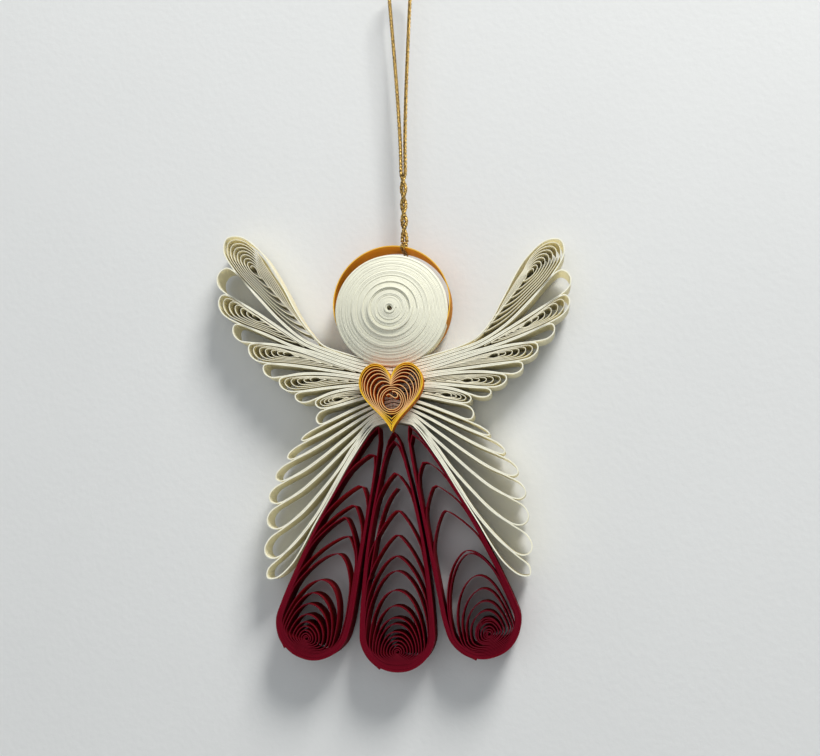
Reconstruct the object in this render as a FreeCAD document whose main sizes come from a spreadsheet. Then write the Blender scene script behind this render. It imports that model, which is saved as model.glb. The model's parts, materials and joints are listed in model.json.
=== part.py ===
import FreeCAD, Part
import Sketcher

import math
import os

# Hanging ornament made of quilled paper strips: a winged figure with a coiled head,
# a ring halo, a heart and a gown of three teardrop coils, on a loop of cord.
# Millimetres. X runs to the right, Z up, and the front faces -Y. The row's origin is
# the underside of the cord where it goes over its hook, the point that it hangs from.
# The plan of every strip is a line of (out, up) points on the front plane, with "out"
# counted from the ornament's middle line and "up" from the level of the heart's tip.

doc = FreeCAD.newDocument("QuilledOrnament")
sheet = doc.addObject("Spreadsheet::Sheet", "Dimensions")

# Driving dimensions: alias, value or formula, what it measures
DIMENSIONS = [
    ("strip_width", "6.35", "width of the wing, gown and halo strips, front to back"),
    ("ivory_paper", "0.30", "thickness of the wing strips"),
    ("crimson_paper", "0.26", "thickness of the gown strips"),
    ("gold_paper", "0.30", "thickness of the halo and heart strips"),
    ("glue_gap", "0.05", "film of glue between two neighbours"),
    ("head_diameter", "26.1", "outside of the head coil"),
    ("head_strip_width", "3.2", "width of the head's strip"),
    ("head_rise", "3.1", "how far the head's middle is pushed forward"),
    ("head_eyelet", "0.9", "hole left by the quilling tool"),
    ("halo_headroom", "0.55", "gap between the halo and the top of the head"),
    ("halo_lift", "0.24", "how far the slope of the two wings lifts the halo that rests on them"),
    ("heart_breadth", "15.0", "heart across its lobes"),
    ("heart_height", "16.0", "heart from tip to lobes"),
    ("heart_strip_width", "3.2", "width of the heart's strip"),
    ("heart_rim", "0.9", "wraps of the heart pressed together at its edge"),
    ("tail_pitch", "0.79", "pitch of the feather tails where they meet the middle line"),
    ("tail_height", "3.0", "height of the lowest tail"),
    ("gather_out", "4.0", "point that the feathers spread from, off the middle line"),
    ("gather_up", "6.0", "point that the feathers spread from, height"),
    ("fan_start", "5.4", "angle between the gown's flank and the seam above it"),
    ("flank_contact", "0.62", "share of the gown's flank that the lowest feather lies on"),
    ("right_droop", "5.5", "how much lower the right wing's top feather ends"),
    ("right_gain", "0.4", "how much farther the right wing's lower feathers reach"),
    ("right_loss", "0.8", "how much shorter the right wing's middle feathers are"),
    ("feather_rim", "0.5", "wraps pressed together at the edge of a coiled feather"),
    ("middle_coil_length", "53.2", "middle gown coil from tip to foot"),
    ("middle_coil_radius", "8.6", "round foot of the middle gown coil"),
    ("middle_coil_tip", "1.0", "height of the middle gown coil's tip"),
    ("middle_coil_bulge", "1.4", "bow of its flanks"),
    ("side_coil_length", "54.4", "side gown coils from tip to foot"),
    ("side_coil_radius", "8.6", "round foot of the side gown coils"),
    ("side_coil_tip_out", "3.3", "side coil's tip off the middle line"),
    ("side_coil_tip_up", "2.2", "height of the side coils' tips"),
    ("side_coil_bulge", "1.4", "bow of their outer flanks"),
    ("gown_tip_radius", "0.8", "rounding of the gown coils' tips"),
    ("gown_rim_side", "0.9", "wraps pressed together along the gown coil's sides"),
    ("gown_rim_foot", "1.4", "wraps pressed together at the gown coil's foot"),
    ("gown_rim_tip", "4.0", "wraps pressed together at the gown coil's tip"),
    ("cord_diameter", "0.9", "metallic twisted cord"),
    ("cord_out", "3.0", "cord off the middle line"),
    ("cord_drop", "68.5", "top of the halo below the hook"),
    ("cord_together", "24.5", "length over which the two strands lie together"),
    ("strand_gap", "0.1", "air between the two strands there"),
    ("hook_radius", "2.2", "hook or pin that the cord goes over"),
    ("hitch_band", "0.42", "flattened cord that passes round the halo strip"),
    ("hitch_width", "1.3", "width of that pass"),
    ("knot_radius", "0.95", "knot above the halo"),
    ("knot_height", "1.7", "knot above the halo"),
]

# The seams between neighbouring feathers, from the top of the wing down. Reach is the
# distance from the gather point to the crotch where the two feathers part, spread is
# the angle to the next seam below, and swing turns the seam off its own bearing there.
SEAMS = [
    (36.3, 8.5, 11.0),
    (47.8, 6.7, 3.0),
    (45.2, 5.6, -8.8),
    (38.7, 3.8, -11.7),
    (33.3, 5.1, -29.0),
    (27.8, 4.1, -20.0),
    (23.3, 6.0, -33.0),
    (18.3, 2.6, -20.0),
    (13.7, 9.3, -38.0),
    (11.2, 16.7, -13.0),
    (12.5, 8.5, -8.0),
    (17.0, 7.2, 0.0),
    (21.6, 6.8, 8.0),
    (26.2, 6.7, 16.0),
    (30.0, 7.1, 21.0),
    (33.9, 5.2, 24.0),
    (39.4, 0.0, 25.0),
]

# How far each feather's rounded end stands past its farther crotch
OVERHANGS = [
    8.8, 2.8, 1.6, 1.4, 1.1, 1.4, 1.1, 1.7, 1.1,
    1.6, 1.9, 2.0, 2.3, 2.8, 3.2, 3.2, 6.8,
]

# The way each seam leaves the middle line: its bearing there, and the lengths of its
# two handles as shares of its chord
SEAM_BENDS = [
    (-3, 0.45, 0.40),
    (-1, 0.40, 0.45),
    (1, 0.38, 0.40),
    (3, 0.36, 0.40),
    (5, 0.33, 0.33),
    (8, 0.33, 0.33),
    (9, 0.33, 0.33),
    (10, 0.33, 0.33),
    (10, 0.33, 0.33),
    (2, 0.33, 0.33),
    (-6, 0.33, 0.33),
    (-10, 0.30, 0.33),
    (-14, 0.30, 0.33),
    (-17, 0.28, 0.31),
    (-20, 0.26, 0.29),
    (-23, 0.24, 0.25),
    (-25, 0.16, 0.18),
]

# Feathers that are coils: loose turns, the last one's share of the first one's size,
# and how far inside the crotches the eye lies. A coil with no loose turn is all rim.
COIL_FEATHERS = {
    1: (2, 0.42, -3.5),
    3: (1, 0.42, 5.3),
    5: (1, 0.66, 6.6),
    7: (1, 0.66, 5.7),
    9: (0, 1.0, 3.5),
}

SEAM_STEPS = 6
LOBE_STEPS = 5
GOWN_TURNS = 5
HEART_TURNS = 3
HEART_ANGLES = [0, 32, 48, 64, 82, 100, 120, 142]
RAMP_SHARE = 0.3
FREE_SHARE = 0.25
HEART_EYE = 0.3
UPPER_SEAMS = 9
FEATHER_COUNT = len(OVERHANGS)

# Heights and radii that follow from the driving dimensions
DERIVED = [
    ("half_strip", "=strip_width / 2"),
    ("head_radius", "=head_diameter / 2"),
    ("halo_inner_radius", "=head_radius + (glue_gap + halo_headroom) / 2"),
    ("halo_outer_radius", "=halo_inner_radius + gold_paper"),
    ("wing_top", f"=tail_height + {FEATHER_COUNT} * tail_pitch"),
    ("halo_up", "=wing_top + glue_gap + halo_lift + halo_outer_radius"),
    ("head_up", "=halo_up - (halo_headroom - glue_gap) / 2"),
    ("hook_up", "=halo_up + halo_outer_radius + cord_drop"),
]


def enter_dimensions():
    """Write the driving and the derived dimensions into the sheet, with aliases."""
    rows = list(DIMENSIONS)
    for number, (reach, spread, swing) in enumerate(SEAMS):
        rows.append((f"seam{number}_reach", str(reach), "gather point to crotch"))
        rows.append((f"seam{number}_spread", str(spread), "degrees to the next seam"))
        rows.append((f"seam{number}_swing", str(swing), "degrees off its bearing"))
    for number, overhang in enumerate(OVERHANGS, start=1):
        rows.append((f"feather{number}_overhang", str(overhang), "end past the crotch"))
    rows += [(alias, formula, "follows from the others") for alias, formula in DERIVED]
    for row, (alias, value, meaning) in enumerate(rows, start=1):
        sheet.set(f"A{row}", alias)
        sheet.set(f"B{row}", value)
        sheet.set(f"C{row}", meaning)
        sheet.setAlias(f"B{row}", alias)
    doc.recompute()


def size(alias):
    """Read one dimension from the sheet."""
    return float(getattr(sheet, alias))


# Plane geometry on (out, up) points


def step_from(point, bearing, distance):
    """Go a distance from a point, at a bearing counted upward from outward."""
    angle = math.radians(bearing)
    return (point[0] + distance * math.cos(angle), point[1] + distance * math.sin(angle))


def mix(first, second, share):
    """Point at a share of the way from the first point to the second."""
    return tuple(a + share * (b - a) for a, b in zip(first, second))


def cubic(corners, steps):
    """Points of the cubic curve with the given two ends and two handles."""
    points = []
    for step in range(steps + 1):
        level = corners
        while len(level) > 1:
            level = [mix(a, b, step / steps) for a, b in zip(level, level[1:])]
        points.append(level[0])
    return points


def offset_right(points, distance, closed):
    """Shift a polyline to its right by a distance, mitred at its corners."""
    shifted = []
    count = len(points)
    for index, point in enumerate(points):
        before = points[index - 1] if index or closed else None
        after = points[(index + 1) % count] if index + 1 < count or closed else None
        normals = []
        for start, end in ((before, point), (point, after)):
            if start and end:
                run = math.dist(start, end)
                normals.append(((end[1] - start[1]) / run, (start[0] - end[0]) / run))
        across = tuple(sum(part) / len(normals) for part in zip(*normals))
        stretch = max(across[0] ** 2 + across[1] ** 2, 0.45)
        shifted.append(tuple(p + distance * a / stretch for p, a in zip(point, across)))
    return shifted


def nearest_on(line, point):
    """Nearest point of a polyline, the unit normal on its left there, and its distance along."""
    best = None
    passed = 0.0
    for start, end in zip(line, line[1:]):
        run = (end[0] - start[0], end[1] - start[1])
        length = math.hypot(*run)
        along = (point[0] - start[0]) * run[0] + (point[1] - start[1]) * run[1]
        share = min(1.0, max(0.0, along / length**2))
        foot = mix(start, end, share)
        if best is None or math.dist(point, foot) < math.dist(point, best[0]):
            best = (foot, (-run[1] / length, run[0] / length), passed + share * length)
        passed += length
    return best


def place_beside(line, along, offset):
    """Point at a distance along a polyline and an offset to the left of it."""
    for start, end in zip(line, line[1:]):
        length = math.dist(start, end)
        if along <= length or end is line[-1]:
            break
        along -= length
    across = ((start[1] - end[1]) / length, (end[0] - start[0]) / length)
    foot = mix(start, end, along / length)
    return (foot[0] + offset * across[0], foot[1] + offset * across[1])


def make_room(line, below, room):
    """Lift the points of a line that lie too near the line below it."""
    lifted = line[:1]
    for point in line[1:]:
        foot, normal, _ = nearest_on(below, point)
        height = (point[0] - foot[0]) * normal[0] + (point[1] - foot[1]) * normal[1]
        if height < room and math.dist(point, foot) < 4 * room:
            point = (foot[0] + room * normal[0], foot[1] + room * normal[1])
        lifted.append(point)
    return lifted


def subdivide(points, count):
    """Halve the longest side of a polyline until it has the wanted number of points."""
    points = list(points)
    while len(points) < count:
        sides = [math.dist(a, b) for a, b in zip(points, points[1:])]
        longest = sides.index(max(sides))
        points.insert(longest + 1, mix(points[longest], points[longest + 1], 0.5))
    return points


def contains(outline, point):
    """True when a point lies inside a closed outline."""
    hit = False
    for (x0, z0), (x1, z1) in zip(outline, outline[1:] + outline[:1]):
        if (z0 > point[1]) != (z1 > point[1]):
            hit ^= point[0] < x0 + (point[1] - z0) / (z1 - z0) * (x1 - x0)
    return hit


def clear_of(first, second, gap):
    """True when two closed outlines neither overlap nor come closer than a gap."""
    for corners, sides in ((first, second), (second, first)):
        ring = sides + sides[:1]
        for corner in corners:
            if contains(sides, corner):
                return False
            if math.dist(corner, nearest_on(ring, corner)[0]) < gap:
                return False
    return True


def wind(turns):
    """Join closed turns of equal point counts into one inward spiral.

    The strip leaves each turn for the next one over the turn's first share, and its
    free end stops before it would close the last turn.
    """
    spiral = []
    for outer, inner in zip(turns, turns[1:]):
        ramp = RAMP_SHARE * len(outer)
        for index, (here, there) in enumerate(zip(outer, inner)):
            share = min(1.0, index / ramp)
            spiral.append(mix(here, there, share * share * (3 - 2 * share)))
    return spiral[: -round(FREE_SHARE * len(turns[-1]))]


def air_in_coil(turns, paper):
    """Outline of the air in a coil whose first turn is the hollow of its rim."""
    outer_face = wind(turns)
    inner_face = offset_right(outer_face, paper, closed=False)
    return turns[0] + inner_face + outer_face[:0:-1]


enter_dimensions()

GLUE = size("glue_gap")
ORIGIN = FreeCAD.Vector(-size("cord_out"), 0, -size("hook_up"))
BACK = size("half_strip")
nodes = []


def add_strip_piece(name, outline, air, side, width_alias, front):
    """Draw a piece's plan, outline less air, and raise it to its strip's width.

    The plan is mirrored for side -1 and starts at the given front plane.
    """
    wires = []
    for points in (outline, air):
        corners = [FreeCAD.Vector(side * x, 0, z) for x, z in points]
        wires.append(Part.makePolygon(corners + corners[:1]))
    plan = doc.addObject("Part::Feature", f"{name}_plan")
    plan.Shape = Part.makeFace(wires, "Part::FaceMakerBullseye")
    plan.Placement = FreeCAD.Placement(ORIGIN + FreeCAD.Vector(0, front, 0), FreeCAD.Rotation())
    piece = doc.addObject("Part::Extrusion", name)
    piece.Label = name
    piece.Base = plan
    piece.DirMode = "Custom"
    piece.Dir = FreeCAD.Vector(0, 1, 0)
    piece.Solid = True
    piece.setExpression("LengthFwd", f"Dimensions.{width_alias}")
    nodes.append(piece)


# Gown: teardrop coils, each turn a round foot and a small round tip joined by flanks


def drop_turn(length, foot_radius, tip_radius, left_bulge, right_bulge):
    """Closed clockwise teardrop of 16 points, its foot at the origin, its tip above."""
    rise = length - foot_radius - tip_radius
    lean = math.asin((foot_radius - tip_radius) / rise)
    foot_arc = []
    for step in range(5):
        angle = -math.pi / 2 - step / 4 * (math.pi / 2 + lean)
        foot_arc.append(
            (foot_radius * math.cos(angle), foot_radius + foot_radius * math.sin(angle))
        )
    tip_arc = []
    for step in range(3):
        angle = math.pi - lean - step / 2 * (math.pi - 2 * lean)
        middle = foot_radius + rise
        tip_arc.append((tip_radius * math.cos(angle), middle + tip_radius * math.sin(angle)))
    left_flank, right_flank = [], []
    for share in (0.4, 0.8):
        bow = math.sin(math.pi * share) ** 0.6
        x, z = mix(foot_arc[4], tip_arc[0], share)
        left_flank.append((x - left_bulge * bow, z))
        x, z = mix((-foot_arc[4][0], foot_arc[4][1]), tip_arc[2], share)
        right_flank.append((x + right_bulge * bow, z))
    right_foot = [(-x, z) for x, z in foot_arc[4:0:-1]]
    return foot_arc + left_flank + tip_arc + right_flank[::-1] + right_foot


def drop_turns(length, radius, left_bulge, right_bulge):
    """Outline of a gown coil, and its nested turns from the rim's hollow to the eye."""
    tip_radius = size("gown_tip_radius")
    outline = drop_turn(length, radius, tip_radius, left_bulge, right_bulge)
    pitch = size("crimson_paper") + 2 * GLUE
    widest = radius - size("gown_rim_side")
    eye = 1.4
    turns = []
    for number in range(GOWN_TURNS + 1):
        done = number / GOWN_TURNS
        foot = size("gown_rim_foot") + number * pitch
        sunk = size("gown_rim_tip") + 0.745 * length * (1 - (1 - done) ** 1.25)
        turn_radius = widest - pitch * number
        turn_radius -= (widest - pitch * GOWN_TURNS - eye) * done**3
        tip = tip_radius + (0.85 * turn_radius - tip_radius) * done**1.5
        bulge_left, bulge_right = left_bulge * (1 - done), right_bulge * (1 - done)
        turn = drop_turn(length - foot - sunk, turn_radius, tip, bulge_left, bulge_right)
        turns.append([(x, z + foot) for x, z in turn])
    return outline, turns


def hang_drop(points, tip, tilt, length):
    """Put a drop's tip in its place and swing its foot outward by a tilt."""
    cosine, sine = math.cos(math.radians(tilt)), math.sin(math.radians(tilt))
    placed = []
    for x, z in points:
        below = z - length
        placed.append((tip[0] + x * cosine - below * sine, tip[1] + x * sine + below * cosine))
    return placed


MIDDLE_LENGTH, SIDE_LENGTH = size("middle_coil_length"), size("side_coil_length")
MIDDLE_TIP = (0.0, size("middle_coil_tip"))
SIDE_TIP = (size("side_coil_tip_out"), size("side_coil_tip_up"))

middle_outline, middle_turns = drop_turns(
    MIDDLE_LENGTH, size("middle_coil_radius"), *[size("middle_coil_bulge")] * 2
)
side_outline, side_turns = drop_turns(
    SIDE_LENGTH, size("side_coil_radius"), 0.5, size("side_coil_bulge")
)
middle_outline = hang_drop(middle_outline, MIDDLE_TIP, 0.0, MIDDLE_LENGTH)


def seated_tilt():
    """Tilt at which a side coil lies against the middle one, found by halving."""
    low, high = 5.0, 45.0
    for _ in range(24):
        tilt = (low + high) / 2
        placed = hang_drop(side_outline, SIDE_TIP, tilt, SIDE_LENGTH)
        if clear_of(placed, middle_outline, GLUE):
            high = tilt
        else:
            low = tilt
    return high


tilt = seated_tilt()
side_outline = hang_drop(side_outline, SIDE_TIP, tilt, SIDE_LENGTH)

air = air_in_coil(
    [hang_drop(turn, MIDDLE_TIP, 0.0, MIDDLE_LENGTH) for turn in middle_turns],
    size("crimson_paper"),
)
add_strip_piece("gown_middle_coil", middle_outline, air, 1, "strip_width", -BACK)
air = air_in_coil(
    [hang_drop(turn, SIDE_TIP, tilt, SIDE_LENGTH) for turn in side_turns],
    size("crimson_paper"),
)
for side_name, side in (("left", -1), ("right", 1)):
    add_strip_piece(f"gown_{side_name}_coil", side_outline, air, side, "strip_width", -BACK)


# Wings: neighbouring feathers share a seam, and each one keeps half the glue's width
# off it. The tails lie in a stack that meets the other wing's on the middle line.


def flank_seam():
    """Seam under the lowest feather, from the middle line down the gown's flank."""
    flank = offset_right(side_outline, -GLUE, closed=True)[8:13]
    left = size("flank_contact") * sum(math.dist(a, b) for a, b in zip(flank, flank[1:]))
    seam = [(0.0, size("tail_height")), flank[0]]
    for start, end in zip(flank, flank[1:]):
        run = math.dist(start, end)
        seam.append(mix(start, end, min(1.0, left / run)))
        left -= run
        if left <= 0:
            break
    return subdivide(seam, SEAM_STEPS + 1)


def wing_seams(droop, gain, loss):
    """Seams of one wing from the top down, and the bearing of each at its crotch."""
    gather = (size("gather_out"), size("gather_up"))
    seams = [flank_seam()]
    inner, crotch = seams[0][-2:]
    headings = [math.degrees(math.atan2(crotch[1] - inner[1], crotch[0] - inner[0]))]
    bearing = math.degrees(math.atan2(crotch[1] - gather[1], crotch[0] - gather[0]))
    bearing += size("fan_start")
    room = 2 * size("ivory_paper") + 0.12
    for number in reversed(range(FEATHER_COUNT)):
        bearing += size(f"seam{number}_spread")
        reach = size(f"seam{number}_reach")
        sag = 0.0
        if number < UPPER_SEAMS:
            sag = droop * (1 - number / UPPER_SEAMS) ** 1.5
            reach -= loss * math.sin(math.pi * number / UPPER_SEAMS)
        else:
            reach += gain
        crotch = step_from(gather, bearing, reach)
        crotch = (crotch[0], crotch[1] - sag)
        heading = bearing + size(f"seam{number}_swing")
        stacked = FEATHER_COUNT - number
        root = (0.0, size("tail_height") + stacked * size("tail_pitch"))
        leaving, root_share, crotch_share = SEAM_BENDS[number]
        chord = math.dist(root, crotch)
        corners = [
            root,
            step_from(root, leaving, root_share * chord),
            step_from(crotch, heading + 180, crotch_share * chord),
            crotch,
        ]
        seams.insert(0, make_room(cubic(corners, SEAM_STEPS), seams[0], room))
        headings.insert(0, heading)
    return seams, headings


def feather_outline(number, seams, headings):
    """Closed clockwise outline of a feather: upper seam, rounded end, lower seam."""
    upper, lower = seams[number - 1], seams[number]
    above, below = headings[number - 1], headings[number]
    middle = math.radians((above + below) / 2)
    ahead = (lower[-1][0] - upper[-1][0]) * math.cos(middle)
    ahead += (lower[-1][1] - upper[-1][1]) * math.sin(middle)
    reach = max(ahead, 0.0) + 4 / 3 * size(f"feather{number}_overhang")
    corners = [
        upper[-1],
        step_from(upper[-1], above, reach),
        step_from(lower[-1], below, reach - ahead),
        lower[-1],
    ]
    rounded_end = cubic(corners, LOBE_STEPS)[1:-1]
    return offset_right(upper + rounded_end + lower[::-1], GLUE / 2, closed=True)


def feather_hollow(outline, rim, opening):
    """Hollow of a feather, from where its tail is an opening wide, its crotch at last."""
    shifted = offset_right(outline, rim, closed=True)
    upper = outline[: SEAM_STEPS + 1]
    lower = outline[::-1][: SEAM_STEPS + 1]
    opened = []
    apex = outline[0]
    for line, facing in ((upper, lower), (lower, upper)):
        index = 1
        while index < SEAM_STEPS:
            if math.dist(line[index], nearest_on(facing, line[index])[0]) >= 2 * rim + opening:
                break
            index += 1
        opened.append(index)
        closed_at = line[index - 1]
        between = mix(closed_at, nearest_on(facing, closed_at)[0], 0.5)
        if math.dist(between, outline[0]) > math.dist(apex, outline[0]):
            apex = between
    return [apex] + shifted[opened[0] : len(outline) - opened[1]]


def feather_spine(apex, upper, lower, heading):
    """Middle line of a feather from its hollow's apex to past its rounded end."""
    spine = [apex]
    for above, below in zip(upper, lower):
        between = mix(above, below, 0.5)
        if between[0] > apex[0] + 1.0:
            spine.append(between)
    return spine + [step_from(spine[-1], heading, 15.0)]


def coil_turns(hollow, spine, loose_turns, last_share, inset):
    """Nested turns from a feather's hollow to its eye, inset from the crotches."""
    crotches = sum(math.dist(a, b) for a, b in zip(spine[:-1], spine[1:-1]))
    eye = crotches - inset
    turns = [hollow]
    for turn in range(1, loose_turns + 1):
        kept = 1 - turn / loose_turns * (1 - last_share)
        ring = []
        for point in hollow:
            foot, normal, along = nearest_on(spine, point)
            offset = (point[0] - foot[0]) * normal[0] + (point[1] - foot[1]) * normal[1]
            ring.append(place_beside(spine, eye + kept * (along - eye), kept * offset))
        turns.append(ring)
    return turns


for side_name, side in (("left", -1), ("right", 1)):
    skew = [size(f"right_{part}") if side > 0 else 0.0 for part in ("droop", "gain", "loss")]
    seams, headings = wing_seams(*skew)
    for number in range(1, FEATHER_COUNT + 1):
        outline = feather_outline(number, seams, headings)
        if number in COIL_FEATHERS:
            hollow = feather_hollow(outline, size("feather_rim"), 1.1)
            heading = (headings[number - 1] + headings[number]) / 2
            spine = feather_spine(hollow[0], seams[number - 1], seams[number], heading)
            turns = coil_turns(hollow, spine, *COIL_FEATHERS[number])
            air = air_in_coil(turns, size("ivory_paper")) if len(turns) > 1 else hollow
            name = f"{side_name}_coil_feather_{number}"
        else:
            air = feather_hollow(outline, size("ivory_paper"), 0.35)
            name = f"{side_name}_loop_feather_{number}"
        add_strip_piece(name, outline, air, side, "strip_width", -BACK)


# Heart: the coil of a heart-shaped strip, glued on the front of the others


def heart_turn(kept):
    """Closed clockwise heart from its tip, shrunk to a share of its size about its eye."""
    scale = size("heart_height") / 28.97
    points = []
    rising = [360 - angle for angle in HEART_ANGLES[:0:-1]]
    for degrees in [180] + rising + HEART_ANGLES:
        angle = math.radians(degrees)
        up = 13 * math.cos(angle) - 5 * math.cos(2 * angle)
        up -= 2 * math.cos(3 * angle) + math.cos(4 * angle)
        points.append((size("heart_breadth") / 2 * math.sin(angle) ** 3, scale * (up + 17)))
    eye = (0.0, 0.48 * size("heart_height"))
    return [mix(eye, point, kept) for point in points]


rim_share = 1 - 2.6 * size("heart_rim") / size("heart_breadth")
heart_turns = []
for turn in range(HEART_TURNS + 1):
    heart_turns.append(heart_turn(rim_share * (1 - turn / HEART_TURNS * (1 - HEART_EYE))))
air = air_in_coil(heart_turns, size("gold_paper"))
heart_front = -BACK - GLUE - size("heart_strip_width")
add_strip_piece("heart_coil", heart_turn(1.0), air, 1, "heart_strip_width", heart_front)


# Head and halo: a shallow dome of tightly wound strip inside a ring


def add_body(name, height_alias):
    """Start a body whose own origin lies on the middle line at a height."""
    body = doc.addObject("PartDesign::Body", name)
    body.Label = name
    body.Placement = FreeCAD.Placement(
        ORIGIN + FreeCAD.Vector(0, 0, size(height_alias)), FreeCAD.Rotation()
    )
    return body


def add_sketch(body, name, plane):
    """Put a sketch on one of a body's own planes."""
    sketch = body.newObject("Sketcher::SketchObject", name)
    support = next(part for part in body.Origin.OriginFeatures if part.Role == plane)
    sketch.AttachmentSupport = [(support, "")]
    sketch.MapMode = "FlatFace"
    return sketch


halo = add_body("halo_ring", "halo_up")
ring = add_sketch(halo, "halo_circles", "XZ_Plane")
for index, alias in enumerate(("halo_outer_radius", "halo_inner_radius")):
    ring.addGeometry(
        Part.Circle(FreeCAD.Vector(), FreeCAD.Vector(0, 0, 1), size(alias)), False
    )
    ring.addConstraint(Sketcher.Constraint("Coincident", index, 3, -1, 1))
    radius = ring.addConstraint(Sketcher.Constraint("Radius", index, size(alias)))
    ring.setExpression(f"Constraints[{radius}]", f"Dimensions.{alias}")
halo_pad = halo.newObject("PartDesign::Pad", "halo_strip")
halo_pad.Profile = ring
halo_pad.SideType = "Symmetric"
halo_pad.setExpression("Length", "Dimensions.strip_width")
nodes.append(halo)

# Corners of the head's section, as shares: out of the head's radius, forward of the
# head's rise, and back of the strip's width
HEAD_SECTION = [
    (1.00, 0.00, 0.0),
    (1.00, 0.00, 1.0),
    (0.50, 0.62, 1.0),
    (0.00, 1.00, 1.0),
    (0.00, 1.00, 0.0),
    (0.90, 0.00, 0.0),
]

head = add_body("head_coil", "head_up")
section = add_sketch(head, "head_section", "XY_Plane")
corners = []
for out, forward, strip in HEAD_SECTION:
    x = size("head_eyelet") / 2 + out * (size("head_radius") - size("head_eyelet") / 2)
    y = BACK - forward * size("head_rise") - strip * size("head_strip_width")
    corners.append(FreeCAD.Vector(x, y, 0))
for start, end in zip(corners, corners[1:] + corners[:1]):
    section.addGeometry(Part.LineSegment(start, end), False)
for index, (out, forward, strip) in enumerate(HEAD_SECTION):
    following = (index + 1) % len(HEAD_SECTION)
    section.addConstraint(Sketcher.Constraint("Coincident", index, 2, following, 1))
    across = section.addConstraint(
        Sketcher.Constraint("DistanceX", -1, 1, index, 1, corners[index].x)
    )
    section.setExpression(
        f"Constraints[{across}]",
        f"Dimensions.head_eyelet / 2 + {out} * (Dimensions.head_radius"
        " - Dimensions.head_eyelet / 2)",
    )
    back = section.addConstraint(
        Sketcher.Constraint("DistanceY", -1, 1, index, 1, corners[index].y)
    )
    section.setExpression(
        f"Constraints[{back}]",
        f"Dimensions.half_strip - {forward} * Dimensions.head_rise"
        f" - {strip} * Dimensions.head_strip_width",
    )
head_turned = head.newObject("PartDesign::Revolution", "head_turned")
head_turned.Profile = section
head_turned.ReferenceAxis = (section, ["V_Axis"])
head_turned.Angle = 360
nodes.append(head)


# Cord: a flat pass round the halo strip with a knot over it, and the hanging loop


def hitch_shape():
    """Pass of cord round the halo strip with its knot, and the height of its top."""
    band, width = size("hitch_band"), size("hitch_width")
    inner, outer = size("halo_inner_radius") - GLUE, size("halo_outer_radius") + GLUE
    depth = BACK + GLUE
    corner = FreeCAD.Vector(-width / 2, -depth - band, inner - band)
    loop = Part.makeBox(width, 2 * (depth + band), outer - inner + 2 * band, corner)
    corner = FreeCAD.Vector(-width / 2, -depth, inner)
    loop = loop.cut(Part.makeBox(width, 2 * depth, outer - inner, corner))
    swing = math.degrees(math.asin(size("cord_out") / outer))
    loop.rotate(FreeCAD.Vector(), FreeCAD.Vector(0, 1, 0), swing)
    foot = math.sqrt(outer**2 - (size("cord_out") - size("knot_radius")) ** 2)
    corner = FreeCAD.Vector(size("cord_out"), 0, foot)
    knot = Part.makeCylinder(size("knot_radius"), size("knot_height"), corner)
    rims = [edge for edge in knot.Edges if edge.Curve.TypeId.endswith("Circle")]
    knot = knot.makeChamfer(0.3, rims)
    return loop.fuse(knot).removeSplitter(), foot + size("knot_height")


def cord_shape(knot_top):
    """Tube along the two strands and over the hook, in the row's own frame."""
    apart = (size("cord_diameter") + size("strand_gap")) / 2
    start = size("halo_up") + knot_top + GLUE - size("hook_up")
    parting = start + size("cord_together")
    over = size("hook_radius") + size("cord_diameter") / 2
    axis = FreeCAD.Vector(0, 0, -size("hook_radius"))
    climb = axis.z - parting
    lean = math.asin(over / math.hypot(climb, apart)) - math.atan2(apart, climb)
    leaving = axis + FreeCAD.Vector(over * math.cos(lean), 0, -over * math.sin(lean))
    mirrored = FreeCAD.Vector(-leaving.x, 0, leaving.z)
    crest = axis + FreeCAD.Vector(0, 0, over)
    right = [FreeCAD.Vector(apart, 0, start), FreeCAD.Vector(apart, 0, parting), leaving]
    left = [mirrored, FreeCAD.Vector(-apart, 0, parting), FreeCAD.Vector(-apart, 0, start)]
    edges = [Part.makeLine(a, b) for a, b in zip(right, right[1:])]
    edges.append(Part.Arc(leaving, crest, mirrored).toShape())
    edges += [Part.makeLine(a, b) for a, b in zip(left, left[1:])]
    ring = []
    for step in range(8):
        angle = math.pi / 4 * (step + 0.5)
        reach = size("cord_diameter") / 2 / math.cos(math.pi / 8)
        ring.append(right[0] + FreeCAD.Vector(reach * math.cos(angle), reach * math.sin(angle), 0))
    sweep = Part.BRepOffsetAPI.MakePipeShell(Part.Wire(edges))
    sweep.add(Part.makePolygon(ring + ring[:1]), False, False)
    sweep.setTransitionMode(1)
    sweep.build()
    sweep.makeSolid()
    return sweep.shape()


hitch_solid, knot_top = hitch_shape()
hitch = doc.addObject("Part::Feature", "cord_hitch")
hitch.Shape = hitch_solid
hitch.Placement = FreeCAD.Placement(
    ORIGIN + FreeCAD.Vector(0, 0, size("halo_up")), FreeCAD.Rotation()
)
nodes.append(hitch)
cord = doc.addObject("Part::Feature", "hanging_cord")
cord.Shape = cord_shape(knot_top)
nodes.append(cord)


# Checks and export


doc.recompute()
for item in doc.Objects:
    if "Invalid" in item.State or "Error" in item.State:
        raise RuntimeError(f"{item.Name} failed: {item.State}")
for node in nodes:
    if node.Shape.isNull() or not node.Shape.isValid() or not node.Shape.Solids:
        raise RuntimeError(f"{node.Name} is not a valid solid")

os.makedirs("parts", exist_ok=True)
for node in nodes:
    node.Shape.exportStep(f"parts/{node.Name}.step")
    box = node.Shape.BoundBox
    print(
        f"{node.Name:24s} solids {len(node.Shape.Solids)} volume {node.Shape.Volume:9.2f}"
        f" x {box.XMin:8.2f} {box.XMax:8.2f} y {box.YMin:6.2f} {box.YMax:6.2f}"
        f" z {box.ZMin:8.2f} {box.ZMax:8.2f}"
    )
print("side coils tilt", round(tilt, 3), "knot top", round(knot_top, 3))
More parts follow.
